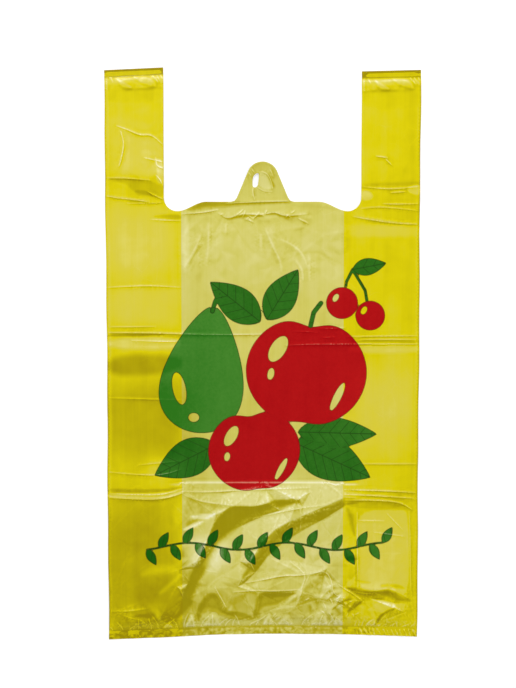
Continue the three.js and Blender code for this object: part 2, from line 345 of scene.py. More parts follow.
# Patches with crisp rims: how much paler or deeper the film is, softness of the rim, x and y of the outline.
# The deeper ones cling to the layer below and carry painted shade of the folds and hollows; the paler ones
# stand off it and carry painted highlights.
PATCHES = [
    # left handle
    (-0.16, 1.2, -147,171, -131,171, -107,169, -94,162, -94,153, -110,154, -125,159, -128,165,
        -143,168),
    (0.14, 3, -138,220, -127,216, -116,210, -105,212, -94,202, -94,176, -107,173, -135,172, -133,184,
        -131,203, -134,216),
    # painted glint on the crinkles at the handle's inner edge
    (0.35, 1, -102,190, -94,188, -94,164, -102,168, -100,176, -102,184),
    (-0.3, 0.8, -128,149, -107,148.5, -95,148, -97,147, -126,147),
    (-0.18, 0.8, -123,160, -109,159, -100,154, -108,154, -119,154),
    (-0.3, 1, -107,134.5, -93,136.5, -77.5,136.5, -77.5,131, -93,132),
    (-0.05, 1.2, -150,254, -94,254, -94,241, -150,241),
    # right handle
    (-0.04, 1.2, 94,254, 150,254, 150,236, 94,236),
    (-0.15, 1.5, 94,166, 150,168, 150,164, 94,160),
    # painted highlights on the pleats under the handle's crease
    (0.3, 1, 94,159.5, 103,158.5, 106,151, 94,149),
    (0.3, 1, 137,162, 150,166, 150,154, 139,157),
    # lip of the mouth, tab and the strip beside the left gusset
    (-0.3, 0.8, -42,138, -34,132, -22,136, 0,136, 0,134, -21,134, -33,130),
    (-0.25, 0.8, 0,136, 12,139, 20,135, 34,136, 34,134, 20,133, 12,136),
    (0.2, 1, -2.8,175.5, 1,176, 4,173.5, 6.3,169.5, 7.6,165, 8.4,160, 2.4,159.2, -2,161.5, -3.2,166),
    (-0.2, 0.8, 3.9,174.8, 6.9,174, 9.2,168.7, 13,161.9, 10.7,161.9, 6.9,168),
    (0.2, 2.5, -76,134, -71,134, -70,111, -69,86, -75,79, -77,100),
    # second packing fold
    (-0.35, 0.8, -150,22.5, -117,22.5, -88,22.5, -108,20.5, -150,19.5),
    (0.3, 2, -150,18, -78,20, -78,7, -150,8),
    (-0.35, 4, -150,3, -78,3, -78,-14, -150,-20),
    (-0.2, 0.8, 82,16, 150,16, 150,13.5, 82,13.5),
    (0.25, 2, 82,12, 150,12, 150,4, 82,4),
    # third packing fold, left, with a painted highlight along its ridge and painted shade above it, then
    # painted highlights on the left panel
    (0.45, 0.9, -150,-132, -108,-133, -94,-132, -76,-128, -76,-131, -91,-136, -108,-137, -150,-136),
    (-0.25, 0.8, -150,-127, -99,-128, -77,-124, -77,-127, -99,-131, -150,-131),
    (0.14, 3, -89,-146, -77,-144, -77,-158, -84,-164),
    (0.16, 4, -120,-211, -110,-204, -95,-202, -80,-200, -78,-208, -97,-209, -110,-212),
    (0.24, 2.5, -101,-229, -92,-220, -84,-214, -78,-208, -78,-212, -84,-218, -92,-225, -99,-230),
    # upper fold, with painted glints on the pale facets beside it, and the long fold down to the left
    (-0.06, 1.5, -76,-132, -55,-138, -29,-142, -35,-150, -44,-150, -48,-155, -60,-162, -74,-168,
        -76,-158, -60,-150),
    (0.6, 0.9, -71,-154, -59,-152, -44,-150, -47,-154, -54,-157, -61,-156, -67,-156),
    (0.5, 0.9, -77,-166, -67,-161, -56,-157, -59,-161, -66,-165, -76,-168),
    (-0.25, 1.5, -96,-258, -91,-253, -84,-250, -77,-241, -77,-226, -70,-226, -74,-241, -76,-249,
        -81,-255, -87,-260),
    (-0.15, 3, -129,-250, -116,-247, -102,-249, -108,-257, -118,-254),
    # third packing fold, right
    (-0.1, 0.8, 81,-138, 113,-140, 137,-142, 142,-146, 128,-146, 94,-146, 82,-143),
    (-0.2, 1, 81,-144, 86,-149, 90,-154, 90,-178, 84,-162, 81,-153),
    (0.25, 0.9, 92,-148, 136,-147, 140,-151, 143,-235, 124,-224, 109,-228, 92,-226, 91,-178),
    (-0.2, 1.5, 80,-192, 95,-192, 94,-202, 80,-200),
    (-0.25, 1, 89.7,-215.9, 105.6,-218.1, 102.7,-220.3, 94.8,-219.9),
    (-0.3, 1.2, 114,-220, 132,-220, 139,-225, 134,-226, 121,-224, 114,-224),
    # hollows above the weld
    (-0.23, 1, -4,-230, 10,-229, 36,-228, 29,-237, 19,-244, 10,-247, 3,-247, -4,-255, -9,-258, -9,-253,
        -7,-240),
    (-0.28, 1, -62,-242, -54,-230, -46,-229, -40,-235, -36,-248, -19,-250, -9,-255, -9,-259, -26,-258,
        -39,-255, -46,-250, -53,-248, -59,-253, -62,-260, -64,-251),
    (-0.28, 1, 80,-222, 96,-225, 106,-227, 121,-225, 128,-228, 135,-233, 145,-236, 141,-239, 130,-241,
        123,-237, 114,-236, 99,-238, 90,-237, 80,-227),
    (-0.42, 1, 90,-237, 98,-240, 90,-245, 80,-252, 85,-245),
    (-0.45, 0.8, 130,-244, 125,-244, 118,-248, 112,-253, 108,-263, 111,-263, 114,-256, 121,-250,
        128,-246),
    (-0.45, 0.8, 80,-236, 72,-241, 67,-247, 69,-247, 75,-242, 80,-238, 88,-236),
]

# Deep patches that fade downwards, where the film clings, with painted shade on the folds turned from the
# lamp: the upper fold with the long fold below it, and the left of the lip
FALLING = [
    (-0.66, 1.2, -33,-144, -21,-143, -7,-144, 5,-140, 19,-137, 36,-136, 40,-142, 30,-146, 16,-148,
        2,-152, -9,-157, -18,-161, -24,-166, -33,-176, -42,-187, -47,-198, -54,-211, -62,-224, -67,-237,
        -72,-251, -84,-251, -78,-240, -77,-231, -71,-217, -66,-204, -59,-193, -54,-180, -49,-166,
        -44,-157, -39,-151),
    (-0.5, 0.8, -74,140, -67,144, -57,149, -47,149, -39,148, -24,149, 27,149, 27,147, 1,146, -21,144,
        -39,142, -61,140),
]

# Deep patches that fade upwards, where the film clings, with painted shade on the folds turned from the
# lamp: the fold from the right to the middle, and the right of the lip
RISING = [
    (-0.42, 1.2, 79,-136, 79,-145, 69,-149, 61,-157, 47,-159, 33,-163, 19,-175, 10,-186, 0,-198, -9,-210,
        -18,-217, -21,-215, -19,-210, -12,-198, -4,-188, 8,-176, 17,-164, 33,-156, 51,-148, 66,-141),
    (-0.04, 0.8, 26,146, 33,148, 48,148, 60,147, 72,142, 80,138, 61,139, 39,140, 29,143),
]

# Pouches that the bottom weld draws the film into: middle, half width and height
GATHERS = [
    (-92, 6, 9), (-70, 6, 15), (-49, 10, 16), (5, 6, 14), (22, 9, 13), (55, 11, 16), (73, 7, 12),
    (107, 9, 9),
]

# Crinkles under the weld of each handle, measured from the handle's middle: pouches, then pleats
TOP_POUCHES = [
    [-17,265.5, -9,260.5, 0,254.5, -9,254, -14,258.5],
    [-1.5,265.5, 6,259, 14,256, 22,254, 20,259.5, 14,264.5, 6,265.5],
]
TOP_PLEATS = [
    [17,266, 23,259.5], [21,266, 26.5,258.5], [25,266, 28,260.5], [-26,265.5, -26,254],
    [-22,266, -20,261],
]
HANDLE_MIDDLES = (-122.0, 122.0)

# Crinkled places: number of short creases, left, right, lower and upper end
CRINKLED = [(18, 36, 92, -260, -222), (16, -40, 46, 129, 140)]
CRINKLE_TURNS = (35, 60, 120, 150)
GATHERED_FROM = 88  # right of this the creases from the weld stand closest together


def weld_creases(pick):
    """Short creases that rise from the bottom weld."""
    foot = -146.0
    while foot < 147:
        right = foot > GATHERED_FROM
        slant = pick.uniform(-2, 7) if right else pick.uniform(-8, 11)
        rise = pick.uniform(4, 9 if right else 16)
        bend = (foot + 0.2 * slant, SEAL + 0.5 * rise)
        line = [(foot, SEAL + 0.5), bend, (foot + slant, SEAL + rise)]
        yield pick.uniform(0.5, 1.3), 1.3, 1.3, line
        foot += pick.uniform(3, 4.5) if right else pick.uniform(5, 13)


def crinkle_creases(pick):
    """Short creases that lie criss-cross in the crinkled places."""
    for count, left, right, low, high in CRINKLED:
        for _ in range(count):
            x, y = pick.uniform(left, right), pick.uniform(low, high)
            turn = math.radians(pick.choice(CRINKLE_TURNS) + pick.uniform(-12, 12))
            half = pick.uniform(1.5, 4)
            dx, dy = half * math.cos(turn), half * math.sin(turn)
            line = [(x - dx, y - dy), (x + 0.6, y), (x + dx, y + dy)]
            yield pick.uniform(0.5, 1.0), 1.2, 1.2, line


def all_creases():
    pick = np.random.default_rng(3)
    creases = [(height, left, right, pairs(line)) for height, left, right, *line in CREASES]
    creases += list(weld_creases(pick)) + list(crinkle_creases(pick))
    return [(height, left, right, softened(line, False)) for height, left, right, line in creases]


CREASES = all_creases()
TOP_POUCHES = [softened(pairs(loop), True) for loop in TOP_POUCHES]
for patches in (PATCHES, FALLING, RISING):
    patches[:] = [(amount, soft, softened(pairs(loop), True)) for amount, soft, *loop in patches]


def joined(places):
    """Triangles between points: corners, edges, faces and the source of each corner."""
    return geometry.delaunay_2d_cdt([Vector(p[:2]) for p in places], [], [], 0, 1e-6)


def facetted(places, x, y):
    """Height of flat facets between points that are given as x, y and height."""
    made = joined(places)
    heights = [places[source[0]][2] for source in made[3]]
    z = np.zeros(x.shape)
    for a, b, c in made[2]:
        corners = [tuple(made[0][i]) for i in (a, b, c)]
        (left, low), (right, high) = np.min(corners, axis=0), np.max(corners, axis=0)
        near = (x >= left) & (x <= right) & (y >= low) & (y <= high)
        (ax, ay), (bx, by), (cx, cy) = corners
        px, py = x[near] - ax, y[near] - ay
        area = (bx - ax) * (cy - ay) - (cx - ax) * (by - ay)
        u = (px * (cy - ay) - (cx - ax) * py) / area
        v = ((bx - ax) * py - px * (by - ay)) / area
        inside = (u >= -1e-9) & (v >= -1e-9) & (u + v <= 1 + 1e-9)
        height = heights[a] + u * (heights[b] - heights[a]) + v * (heights[c] - heights[a])
        z[near] = np.where(inside, height, z[near])
    return z


def scatter(pitch, seed, low=-HALF_LENGTH, high=HALF_LENGTH):
    """Points of random height on a shaken grid over the sheet, or over a band of it."""
    pick = np.random.default_rng(seed)
    shake = 0.38 * pitch
    across = np.arange(-HALF_WIDTH - pitch, HALF_WIDTH + 2 * pitch, pitch)
    along = np.arange(low - pitch, high + 2 * pitch, pitch)
    return [(x + pick.uniform(-shake, shake), y + pick.uniform(-shake, shake), pick.uniform(0, 1))
            for x in across for y in along]


def creased(x, y):
    z = np.zeros(x.shape)
    for height, left, right, points in CREASES:
        near = close_by(points, x, y, 9)
        d, share, on_left = line_distance(points, x[near], y[near])
        taper = 0.3 + 0.7 * np.sin(np.pi * share) ** 0.6
        z[near] += height * taper * np.exp(-d / (CREASE_WIDTH * np.where(on_left, left, right)))
    return CREASE_SCALE * z


def crumple_share(x, y):
    """How strongly the film is crumpled, from 0 to 1."""
    bottom = 0.25 * ease(-118, -150, y) + 0.75 * ease(-165, -205, y)
    mouth = bell(y, 108, 32) * ease(84, 70, np.abs(x))
    left_handle = bell(y, 190, 32) * ease(-90, -100, x)
    right_handle = bell(y, 160, 24) * ease(78, 96, x)
    bottom *= 1 - 0.85 * calm(x, y)
    return np.clip(0.08 + 0.9 * bottom + 0.5 * mouth + 0.5 * left_handle + 0.3 * right_handle, 0.0, 1.0)


def ruffle(x, y):
    """Small waves of the fused strip below the weld, which all the layers share."""
    z = np.zeros(x.shape)
    strip = y < SEAL + 1
    sx, sy = x[strip], y[strip]
    fringe = 0.5 + 0.5 * np.sin(2 * np.pi * (sx + 0.4 * sy + 3 * grain(sx, 0.3 * sy, 9, 7.7)) / 4.2)
    right = ease(86, 104, sx)
    wave = right * fringe + (1 - right) * facetted(scatter(4.5, 17, -280, -258), sx, sy)
    z[strip] = ease(SEAL + 1, SEAL - 2.5, sy) * (0.35 + 0.4 * right) * wave
    return z


def patch_tone(x, y):
    """How much paler or deeper the patches make the film, with the painted shade and highlights that they
    carry, and how firmly it clings there.
    """
    tone, cling = np.zeros(x.shape), np.zeros(x.shape)
    for rise, patches in ((0, PATCHES), (-1, FALLING), (1, RISING)):
        for amount, soft, loop in patches:
            near = close_by(loop, x, y, soft)
            px, py = x[near], y[near]
            distance = signed_distance(loop, px, py)
            inside = ease(soft, -soft, distance)
            if amount < 0:
                cling[near] = np.maximum(cling[near], ease(0, -6, distance))
            # the painted shade of the falling and rising patches fades away from the fold's crest
            if rise:
                shifted = signed_distance(loop, px - 2.5 * rise, py + 4.5 * rise)
                inside *= 0.35 + 0.65 * ease(5.5, -4, shifted)
            tone[near] += amount * inside
    return tone, cling


def gathered(x, y):
    """How far inside a pouch over the bottom weld a point lies, from 0 to 1."""
    up = y - SEAL
    depth = np.zeros(x.shape)
    for middle, half, tall in GATHERS:
        depth = np.maximum(depth, 1 - ((x - middle - 0.12 * up) / half) ** 2 - up / tall)
    return np.where(up > 0, depth, 0.0)


def top_crinkle(x, y):
    """How far the film under the handles' welds stands off."""
    z = np.zeros(x.shape)
    for middle in HANDLE_MIDDLES:
        for loop in TOP_POUCHES:
            z += 0.16 * ease(1.2, -1.8, signed_distance(loop, x - middle, y))
        for line in TOP_PLEATS:
            z += 0.18 * np.exp(-line_distance(pairs(line), x - middle, y)[0] / 0.7)
    return z


def calm(x, y):
    """Where the lower part stays flat or softly bent, from 0 to 1."""
    left = ease(-78, -92, x) * ease(-252, -236, y)
    right = ease(88, 96, x) * ease(-228, -216, y)
    return np.maximum(left, right)


def reach(x, y):
    """How freely the front sheet can stand off: nil at the sides and at the welds."""
    sides = ease(0, 24, HALF_WIDTH - np.abs(x))
    return sides * np.minimum(ease(0, 11, y - SEAL), ease(0, 4, TOP_SEAL - y))


def folds(x, y, cling):
    """Broad folds of the front sheet, with sharp edges."""
    broad = FOLD_SCALE * facetted(FOLD_POINTS, x, y) * (1 - 0.08 * cling)
    loose = crumple_share(x, y) * (1 - 0.6 * cling) * (0.25 + 0.75 * ease(0, 26, y - SEAL))
    return reach(x, y) * (broad + 0.9 * loose * facetted(scatter(SCATTER, 5), x, y))


def fine_share(x, y):
    """How strongly the welds, the lower right and the lip are crumpled into small facets."""
    share = 0.45 * bell(y, SEAL, 13) + 0.5 * ease(252.5, 255.5, y)
    share += 1.4 * ease(38, 56, x) * ease(92, 80, x) * ease(-208, -236, y)
    return share + 0.5 * bell(y, 135, 5) * ease(52, 42, np.abs(x))


# Bands of the front sheet that hold small facets: lower and upper end
FINE_BANDS = [(-270, -205), (122, 148), (250, 270)]


def crumples(x, y, cling):
    """Small crumples and slow waves of the front sheet."""
    small = crumple_share(x, y) * (1 - 0.6 * cling) * facetted(scatter(8, 9), x, y)
    for low, high in FINE_BANDS:
        band = (y > low) & (y < high)
        bx, by = x[band], y[band]
        share = 1.3 * fine_share(bx, by) * (1 - cling[band])
        small[band] += share * facetted(scatter(5, 21, low, high), bx, by)
    return reach(x, y) * (0.4 * small + 0.35 + 0.3 * grain(x, y, 70, 2.0))


def details(x, y):
    """Creases, gathers and crinkles that stay sharp."""
    sides = ease(0, 3, HALF_WIDTH - np.abs(x))
    up = y - SEAL
    pouches = 0.5 * ease(0.0, 0.5, gathered(x, y)) * ease(0, 3.5, up)
    inner = ease(0, 3, up) * ease(0, 1.5, TOP_SEAL - y)
    return sides * inner * (creased(x, y) + pouches + top_crinkle(x, y))


def tab_lift(x, y):
    """The tab and the lip curl up a little."""
    tab = np.clip((y - LIP) / (TAB_TOP - LIP), 0.0, 1.0) * ease(34, 26, np.abs(x))
    return 2.2 * tab ** 1.5


# Layers of the bag

def spaced(loop, pitch_at, start_gap):
    """Points on rows whose spacing follows pitch_at(y)."""
    xs, ys = zip(*loop)
    points = []
    y = min(ys) + start_gap
    row = 0
    while y < max(ys):
        pitch = pitch_at(y)
        start = min(xs) + (pitch / 2 if row % 2 else 0.0)
        points += [(x, y) for x in np.arange(start, max(xs), pitch)]
        y += pitch * 0.866
        row += 1
    return points


def rows_along(lines):
    """Points along and beside lines, given as (offsets, points), that keep the edges sharp."""
    points, taken = [], set()
    for offsets, line in lines:
        for (ax, ay), (bx, by) in zip(line, line[1:]):
            run = math.hypot(bx - ax, by - ay)
            dx, dy = (bx - ax) / run, (by - ay) / run
            for along in np.arange(0, run, ROW_STEP):
                for side in offsets:
                    place = (ax + along * dx - side * dy, ay + along * dy + side * dx)
                    cell = (round(place[0] / ROW_CELL), round(place[1] / ROW_CELL))
                    if cell not in taken:
                        taken.add(cell)
                        points.append(place)
    return points


def fold_edges():
    """Edges between neighbouring fold points, below the lowest packing fold."""
    corners, edges = joined(FOLD_POINTS)[:2]
    lines = [(corners[a], corners[b]) for a, b in edges]
    return [(tuple(a), tuple(b)) for a, b in lines if ((a + b) / 2).y < LOWEST_FOLD]


def sharp_rows():
    """Extra mesh points of the front sheet along its creases, fold edges and gussets."""
    lines = []
    for _, left, right, line in CREASES:
        near, far = CREASE_WIDTH, 2.2 * CREASE_WIDTH
        lines.append(((0.0, near * left, -near * right, far * left, -far * right), line))
    lines += [((0.0, 0.8, -0.8), line) for line in fold_edges()]
    for side in (-1, 1):
        lines.append(((0.0, 0.9, -0.9), [(side * GUSSET_FOLD, 136), (side * GUSSET_FOLD, -258)]))
    return rows_along(lines)


def merged(rows, points, gap):
    """The rows, and those of the points that keep a gap from them."""
    tree = kdtree.KDTree(len(rows))
    for i, (x, y) in enumerate(rows):
        tree.insert((x, y, 0), i)
    tree.balance()
    return rows + [p for p in points if tree.find((p[0], p[1], 0))[2] > gap]


def within(loop, holes, x, y, rim=0.0, gap=0.0):
    """Which places lie inside an outline, off its rim, and outside its holes."""
    keep = signed_distance(loop, x, y) < -rim
    for hole in holes:
        keep &= signed_distance(hole, x, y) > gap
    return keep


def triangulated(loop, holes, points, step):
    """A flat sheet of triangles inside an outline: points and faces."""
    rims = [dense(loop, step)] + [dense(hole, step * 0.7) for hole in holes]
    places, edges = [], []
    for rim in rims:
        first = len(places)
        edges += [(first + i, first + (i + 1) % len(rim)) for i in range(len(rim))]
        places += rim
    x, y = np.array(points).T
    keep = within(loop, holes, x, y, 0.55 * step, 0.35 * step)
    places += list(zip(x[keep], y[keep]))
    made = geometry.delaunay_2d_cdt([Vector(p) for p in places], edges, [], 1, 1e-5)
    flat = np.array([(v.x, v.y) for v in made[0]])
    middles = np.array([flat[list(face)].mean(axis=0) for face in made[2]])
    solid = within(loop, holes, *middles.T)
    return flat, [tuple(face) for face, wanted in zip(made[2], solid) if wanted]


def front_pitch(y):
    """Spacing of the front sheet's rows: finest at the weld, then where the film is crinkled."""
    if y < -257:
        return WELD
    return FINE if y < -160 or y > 240 or 120 < y < 186 else MEDIUM


def squeeze(y):
    """Layers close up towards the welds."""
    ends = np.minimum(ease(-2, 8, y - SEAL), ease(-2, 8, TOP_SEAL - y))
    return 0.2 + 0.8 * ends


def layer_height(x, y, flat, fold_height, folds_at):
    """A flat layer's height, drawn to that of the fold that it shares with its neighbour."""
    near = ease(0, 3, np.abs(np.abs(x) - folds_at))
    return (fold_height + (flat - fold_height) * near) * squeeze(y) + ruffle(x, y) + tab_lift(x, y)


def smoothed(height, faces, rounds):
    """Heights with their sharpest kinks rounded off."""
    faces = np.array(faces)
    ends = np.concatenate([faces[:, [0, 1]], faces[:, [1, 2]], faces[:, [2, 0]]])
    count = np.bincount(ends.ravel(), minlength=len(height))
    for _ in range(rounds):
        total = np.bincount(ends[:, 0], height[ends[:, 1]], len(height))
        total += np.bincount(ends[:, 1], height[ends[:, 0]], len(height))
        height = 0.5 * height + 0.5 * total / count
    return height


def front_height(x, y, faces, cling):
    over_gusset = ease(GUSSET_FOLD - 24, GUSSET_FOLD + 0.5, np.abs(x))
    flat = GUSSET_BACK + (FRONT - GUSSET_BACK) * over_gusset
    base = layer_height(x, y, flat, (FRONT + GUSSET_FRONT) / 2, HALF_WIDTH)
    broad = folds(x, y, cling)
    broad += calm(x, y) * (smoothed(broad, faces, CALM_ROUNDS) - broad)
    return base + smoothed(crumples(x, y, cling), faces, 1) + broad + details(x, y)


def settle(x, y):
    """Small waves of the outline: bowed bottom edge, uneven sides and tilted handle tops."""
    low = ease(-190, -HALF_LENGTH, y)
    bow = 2.0 - 4.4 * (np.abs(x - 15) / 165) ** 1.6
    bow += 1.3 * ease(-100, -40, x)
    bow += 0.4 * ease(40, 80, x)
    left = 1.4 + 1.3 * np.clip((x + 122) / 28, -1, 1)
    right = -0.3 + 0.7 * np.clip((x - 122) / 28, -1, 1)
    tilt = np.where(x < 0, left, right) * ease(200, HALF_LENGTH, y)
    drift = 0.25 * np.sin(y / 37.0 + np.sign(x)) + 0.2 * np.sin(y / 13.0 + 2 * np.sign(x))
    drift -= 0.9 * (x < 0) * ease(160, 110, y)
    return x + drift * ease(60, HALF_WIDTH, np.abs(x)) * np.sign(x), y + low * bow + tilt


def bag_layers():
    """Each layer as its name, points, heights, faces and tone."""
    outline, slit = bag_outline(), softened(pairs(SLIT), True, 1)
    rows = sharp_rows()
    flat, faces = triangulated(outline, [slit], merged(rows, spaced(outline, front_pitch, 1.2), 0.9), 1.2)
    x, y = flat.T
    tone, cling = patch_tone(x, y)
    height = front_height(x, y, faces, cling)
    yield "front", flat, height, faces, haze_and_painted_light(x, y, height, faces, cling) + tone
    coarse = spaced(outline, lambda y: COARSE, 3.0)
    flat, faces = triangulated(outline, [slit], coarse, 3.0)
    yield "back", flat, layer_height(*flat.T, BACK, (BACK + GUSSET_BACK) / 2, HALF_WIDTH), faces, 0.4
    for side in (-1, 1):
        flat, faces = triangulated(gusset_outline(side), [], coarse, 3.0)
        x, y = flat.T
        middle = (GUSSET_BACK + GUSSET_FRONT) / 2
        for level, outer in ((GUSSET_FRONT, FRONT), (GUSSET_BACK, BACK)):
            at_fold = layer_height(x, y, level, middle, GUSSET_FOLD)
            at_edge = layer_height(x, y, level, (level + outer) / 2, HALF_WIDTH)
            yield "gusset", flat, np.where(np.abs(x) < 114, at_fold, at_edge), faces, 0.4


# Tone of the film: x, y, half width, half height and how much paler (or deeper) it is there
TONES = [
    # left side, from the handle down
    (-122, 214, 26, 12, 0.1), (-122, 190, 26, 16, 0.1), (-118, 112, 34, 34, 0.26),
    (-116, 50, 36, 20, 0.2), (-112, -62, 44, 40, -0.3), (-95, -106, 18, 10, 0.2),
    (-118, -205, 46, 75, -0.34),
    # right side
    (116, 121, 36, 6, 0.2), (116, -50, 38, 46, 0.2), (116, -245, 36, 14, 0.1), (147, -60, 4, 60, -0.1),
    # middle
    (0, 90, 78, 34, 0.08), (0, -125, 70, 10, 0.02), (-20, -230, 50, 26, -0.06), (0, 170, 24, 20, 0.12),
    (20, -156.5, 16, 5, 0.12), (-53, -189, 18, 17, 0.46), (30, -139, 12, 6, 0.14),
]

# Gains of the painted light and shade from the slope and of the painted glints on ridges; PALEST lets the
# tone reach the near-white colour of painted glints
PAINTED_LIGHT_GAIN = 2.6
RIDGE_GAIN = 6.0
PALEST = 1.25


# This slope paints shade and light into the film's tone, as if from the key lamp at the top left.
def lean(x, y, height, faces):
    """Slope of the sheet towards the top left, positive where it faces that way."""
    a, b, c = (np.stack([x[i], y[i], height[i]], axis=1) for i in np.array(faces).T)
    normal = np.cross(b - a, c - a)
    total = np.zeros((len(x), 3))
    for corner in np.array(faces).T:
        np.add.at(total, corner, normal)
    total /= np.linalg.norm(total, axis=1)[:, None]
    return np.clip(-0.45 * total[:, 0] + 0.89 * total[:, 1], -0.11, 0.16)


def weld_tone(x, y):
    """Tone of the welds, of the strips outside them and of the pouches beside them, with painted highlights
    on the pouches' rims and just above the weld.
    """
    up = y - SEAL
    pouch = gathered(x, y)
    # pouches a little paler inside, with a painted highlight along their rims
    tone = 0.06 * ease(0.0, 0.12, pouch) + 0.2 * bell(pouch, 0.05, 0.05) * (pouch > 0)
    # painted light on the crinkles just above the weld, and the weld's own deeper line
    tone += 0.12 * bell(up, 4, 3) - 0.25 * bell(up, 0, 0.8)
    tone -= (0.2 - 0.36 * grain(x, y, 3.5, 6.0)) * ease(0, -1, up)
    under = ease(252, 254.5, y) * ease(TOP_SEAL + 1, TOP_SEAL - 2, y)
    tone += 0.05 * under * ease(0.04, 0.16, top_crinkle(x, y))
    return tone - 0.5 * ease(TOP_SEAL - 3, TOP_SEAL + 1.5, y)


def haze_and_painted_light(x, y, height, faces, cling):
    """How pale the film looks: low where it clings to the layer below, high where it stands off, with
    painted shade, highlights and sheen laid over it.
    """
    value = np.full(x.shape, 0.5)
    for cx, cy, rx, ry, amount in TONES:
        value += amount * np.exp(-((x - cx) / rx) ** 4 - ((y - cy) / ry) ** 4)
    # painted glints along the ridges of the sheet and painted shade along its valleys
    ridge_glints_and_shade = np.clip(RIDGE_GAIN * (height - smoothed(height, faces, 2)), -0.12, 0.4)
    over_weld = 0.3 + 0.7 * ease(4, 20, y - SEAL)
    inner = np.minimum(over_weld, ease(-1, 6, TOP_SEAL - y))
    # painted light and shade: paler where the sheet faces the key lamp at the top left, deeper where it
    # faces away
    value += PAINTED_LIGHT_GAIN * (1 - 0.7 * cling) * inner * lean(x, y, height, faces) + ridge_glints_and_shade
    value += 0.05 * grain(x, y, 45, 4.4, 4) + weld_tone(x, y)
    return value - 0.2 * ease(1.6, 0.2, HALF_WIDTH - np.abs(x))


# Print: plain fruit shapes and a leafy border

INK_NAMES = ("red", "green", "leaf")


def turned(points, cx, cy, angle):
    c, s = math.cos(math.radians(angle)), math.sin(math.radians(angle))
    return [(cx + c * px - s * py, cy + s * px + c * py) for px, py in points]


def ellipse(cx, cy, rx, ry, angle=0.0):
    angles = np.linspace(0, 2 * np.pi, 40, endpoint=False)
    return turned([(rx * math.cos(a), ry * math.sin(a)) for a in angles], cx, cy, angle)


def apple(cx, cy, size, angle=0.0):
    points = []
    for a in np.linspace(-180, 180, 72, endpoint=False):
        dent = 1 - 0.17 * math.exp(-((a - 90) / 20) ** 2) - 0.07 * math.exp(-((a + 90) / 16) ** 2)
        radius = size * dent * (1 + 0.05 * math.cos(math.radians(2 * a)))
        points.append((radius * math.cos(math.radians(a)), radius * math.sin(math.radians(a))))
    return turned(points, cx, cy, angle)


def pear(cx, cy, size, angle=0.0):
    angles = np.linspace(0, 2 * np.pi, 64, endpoint=False)
    points = [(size * (0.80 - 0.34 * math.sin(a)) * math.cos(a), 1.3 * size * math.sin(a)) for a in angles]
    return turned(points, cx, cy, angle)


def leaf(base, tip, width):
    length = math.hypot(tip[0] - base[0], tip[1] - base[1])
    shares = np.linspace(0, 1, 24)
    upper = [(t * length, 0.5 * width * math.sin(math.pi * t ** 0.8) ** 0.9) for t in shares]
    lower = [(px, -py) for px, py in upper[-2:0:-1]]
    angle = math.degrees(math.atan2(tip[1] - base[1], tip[0] - base[0]))
    return turned(upper + lower, base[0], base[1], angle)


LEAVES = [
    ((-2, 34), (-50, 72), 32), ((4, 36), (34, 84), 30), ((30, -82), (104, -116), 42), ((34, -72),
    (110, -74), 30), ((-44, -84), (-104, -114), 36), ((86, 84), (118, 90), 16),
]


def painted(x, y):
    """Distances to the inked areas, negative inside, with later shapes over earlier ones."""
    ink = {name: np.full(x.shape, EMPTY) for name in INK_NAMES}

    def paint(distance, name):
        for other in ink:
            ink[other] = np.maximum(ink[other], -distance)
        if name:
            ink[name] = np.minimum(ink[name], distance)

    def shape(loop, name=None):
        paint(signed_distance(loop, x, y), name)

    def stalk(width, *points):
        paint(line_distance(points, x, y)[0] - width / 2, "leaf")

    def leaves(*places):
        for place in places:
            shape(leaf(*place), "leaf")

    def glints(*places):
        for place in places:
            shape(ellipse(*place))

    leaves(*LEAVES[:2])
    shape(pear(-56, -12, 47, -9), "green")
    glints((-80, -30, 6.5, 16, 12), (-66, -58, 5.5, 4.6))
    stalk(3.8, (-48, 44), (-45, 54), (-38, 61))
    leaves(*LEAVES[2:5])
    shape(apple(-8, -90, 42, 7), "red")
    glints((-30, -76, 5.5, 11, -30), (-34, -96, 3.0, 4.6, -8), (18, -108, 3.0, 12, 152))
    shape(apple(42, -14, 55, -6), "red")
    glints((15, 8, 7.5, 14, -32), (72, -38, 3.8, 15, -26), (8, -16, 3.4, 6, -12))
    stalk(4.0, (46, 30), (49, 43), (56, 52))
    stalk(2.4, (78, 56), (80, 72), (86, 84))
    stalk(2.4, (102, 42), (98, 64), (86, 84))
    leaves(LEAVES[5])
    shape(ellipse(76, 52, 15, 15), "red")
    shape(ellipse(103, 40, 14, 14), "red")
    glints((70, 57, 2.8, 4.4, -30), (97, 45, 2.8, 4.4, -30))
    border(stalk, leaves)
    return ink


BORDER_ENDS = (-112, 116)
BORDER_LEVEL = -183
BORDER_LEAVES = 20


def border(stalk, leaves):
    """Leafy line across the lower part."""
    def on_line(px):
        return (px, BORDER_LEVEL + 3.5 * math.sin(px / 15))

    stalk(1.5, *(on_line(px) for px in np.linspace(*BORDER_ENDS, 60)))
    for i, px in enumerate(np.linspace(*BORDER_ENDS, BORDER_LEAVES)):
        base = on_line(px)
        up = 1 if i % 2 else -1
        leaves((base, (px + 9, base[1] + up * 15), 8.5))


def ribs(x, y):
    """Distance across the midrib of the nearest leaf, with its sign, and distance along it."""
    best = np.full(x.shape, 1e9)
    across, along = np.full(x.shape, EMPTY), np.full(x.shape, 0.0)
    for base, tip, _ in LEAVES:
        near = line_distance([base, tip], x, y)[0]
        length = math.hypot(tip[0] - base[0], tip[1] - base[1])
        dx, dy = (tip[0] - base[0]) / length, (tip[1] - base[1]) / length
        across = np.where(near < best, (x - base[0]) * dy - (y - base[1]) * dx, across)
        along = np.where(near < best, (x - base[0]) * dx + (y - base[1]) * dy, along)
        best = np.minimum(best, near)
    return across, along


# Mesh

def add_object(name, data):
    made = bpy.data.objects.new(name, data)
    bpy.context.collection.objects.link(made)
    return made


ATTRIBUTES = ("haze_and_painted_light", "side", *INK_NAMES, "vein", "along")


